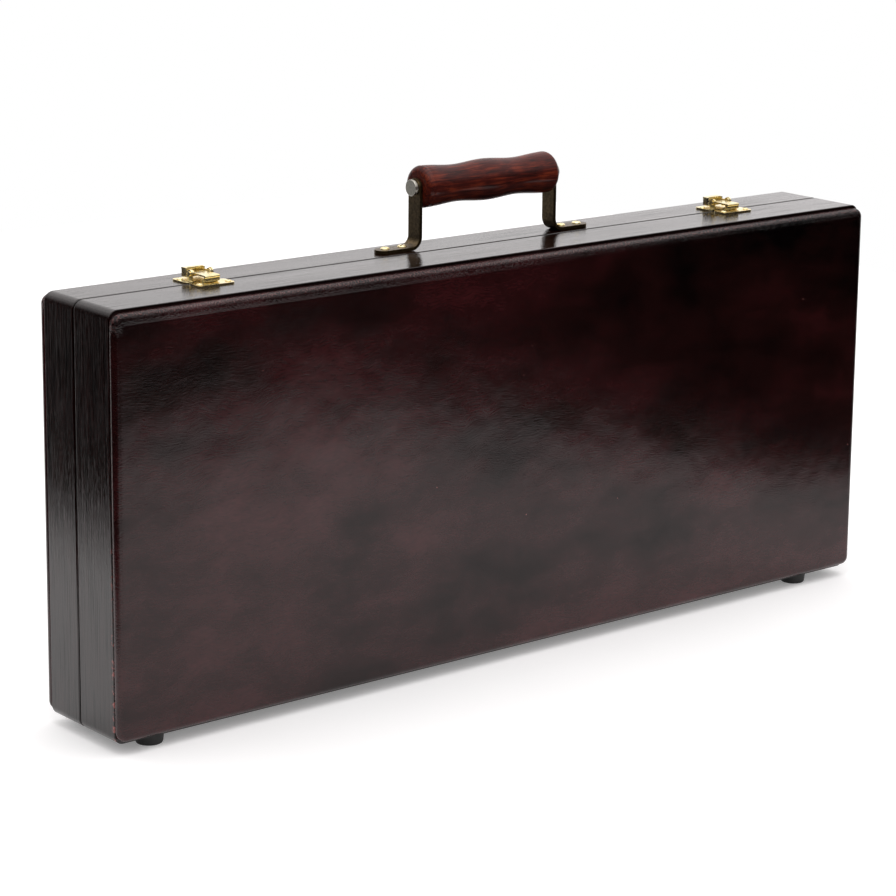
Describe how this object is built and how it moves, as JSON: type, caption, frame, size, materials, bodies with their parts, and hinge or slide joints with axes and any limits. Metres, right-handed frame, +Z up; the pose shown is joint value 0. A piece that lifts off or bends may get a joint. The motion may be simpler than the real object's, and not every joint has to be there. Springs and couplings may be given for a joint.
{
  "type": "poker chip case",
  "caption": "Slim hinged wooden case faced in leather for poker chips, with a turned wooden carrying grip on metal straps, draw latches, feet, chip racks and a card tray inside.",
  "frame": {"origin": "on the floor under the middle of the case, which stands on its feet", "axes": "+Z up, +X along the length to the right seen from the lid's side, +Y from the lid to the base; the lid faces -Y"},
  "size_m": [0.5, 0.066, 0.2597],
  "materials": {
    "lacquered_wood": "dark stained wood under gloss lacquer",
    "plywood": "bare plywood under the leather",
    "cover_leather": "dark burgundy leather, polished, finely creased",
    "felt_lining": "green felt",
    "velvet_tray": "green flocked velvet over a moulded tray",
    "velvet_pad": "green velvet over foam",
    "antique_bronze": "steel strap plated in antique bronze",
    "nickel": "nickel plated, satin",
    "grip_wood": "turned wood, red-brown stain and varnish",
    "brass": "polished brass plate",
    "foot_rubber": "black rubber",
    "steel_screws": "plain steel"
  },
  "bodies": {
    "base": {"base_rail_top": "lacquered_wood", "base_rail_bottom": "lacquered_wood", "base_rail_left": "lacquered_wood", "base_rail_right": "lacquered_wood", "base_board": "plywood", "base_leather": "cover_leather", "base_lining": "felt_lining", "chip_rack_left": "velvet_tray", "chip_rack_right": "velvet_tray", "card_tray": "velvet_tray", "hinge_base_leaf_left": "brass", "hinge_base_leaf_right": "brass", "hinge_pin_left": "brass", "hinge_pin_right": "brass", "hinge_base_screws": "brass", "handle_strap_left": "antique_bronze", "handle_strap_right": "antique_bronze", "handle_bolt": "nickel", "handle_nut": "nickel", "handle_screws": "brass", "latch_base_left": "brass", "latch_base_right": "brass", "latch_rivets_left": "brass", "latch_rivets_right": "brass", "latch_base_screws": "brass", "base_feet": "foot_rubber", "base_foot_screws": "steel_screws"},
    "lid": {"lid_rail_top": "lacquered_wood", "lid_rail_bottom": "lacquered_wood", "lid_rail_left": "lacquered_wood", "lid_rail_right": "lacquered_wood", "lid_board": "plywood", "lid_leather": "cover_leather", "lid_lining": "felt_lining", "lid_pad_left": "velvet_pad", "lid_pad_right": "velvet_pad", "hinge_lid_leaf_left": "brass", "hinge_lid_leaf_right": "brass", "hinge_lid_screws": "brass", "latch_strike_left": "brass", "latch_strike_right": "brass", "latch_strike_screws": "brass", "lid_feet": "foot_rubber", "lid_foot_screws": "steel_screws"},
    "grip": {"handle_grip": "grip_wood"},
    "lever_left": {"latch_lever_left": "brass", "latch_claw_pin_left": "brass"},
    "lever_right": {"latch_lever_right": "brass", "latch_claw_pin_right": "brass"},
    "claw_left": {"latch_claw_left": "brass"},
    "claw_right": {"latch_claw_right": "brass"}
  },
  "joints": [
    {"name": "lid_hinge", "type": "hinge", "parent": "base", "child": "lid", "pos_m": [0, 0.0023, 0.0038], "axis": [1, 0, 0], "range_deg": [0, 100]},
    {"name": "grip_spin", "type": "hinge", "parent": "base", "child": "grip", "pos_m": [0.008, 0.012, 0.2488], "axis": [1, 0, 0], "continuous": true},
    {"name": "lever_left_pivot", "type": "hinge", "parent": "base", "child": "lever_left", "pos_m": [-0.175, 0.0061, 0.2212], "axis": [1, 0, 0], "range_deg": [0, 100]},
    {"name": "lever_right_pivot", "type": "hinge", "parent": "base", "child": "lever_right", "pos_m": [0.175, 0.0061, 0.2212], "axis": [1, 0, 0], "range_deg": [0, 100]},
    {"name": "claw_left_pivot", "type": "hinge", "parent": "lever_left", "child": "claw_left", "pos_m": [-0.175, 0.0093, 0.2202], "axis": [1, 0, 0], "range_deg": [-100, 0]},
    {"name": "claw_right_pivot", "type": "hinge", "parent": "lever_right", "child": "claw_right", "pos_m": [0.175, 0.0093, 0.2202], "axis": [1, 0, 0], "range_deg": [-100, 0]}
  ],
  "couplings": [
    {"joint": "claw_left_pivot", "follows": "lever_left_pivot", "ratio": -1},
    {"joint": "claw_right_pivot", "follows": "lever_right_pivot", "ratio": -1}
  ]
}
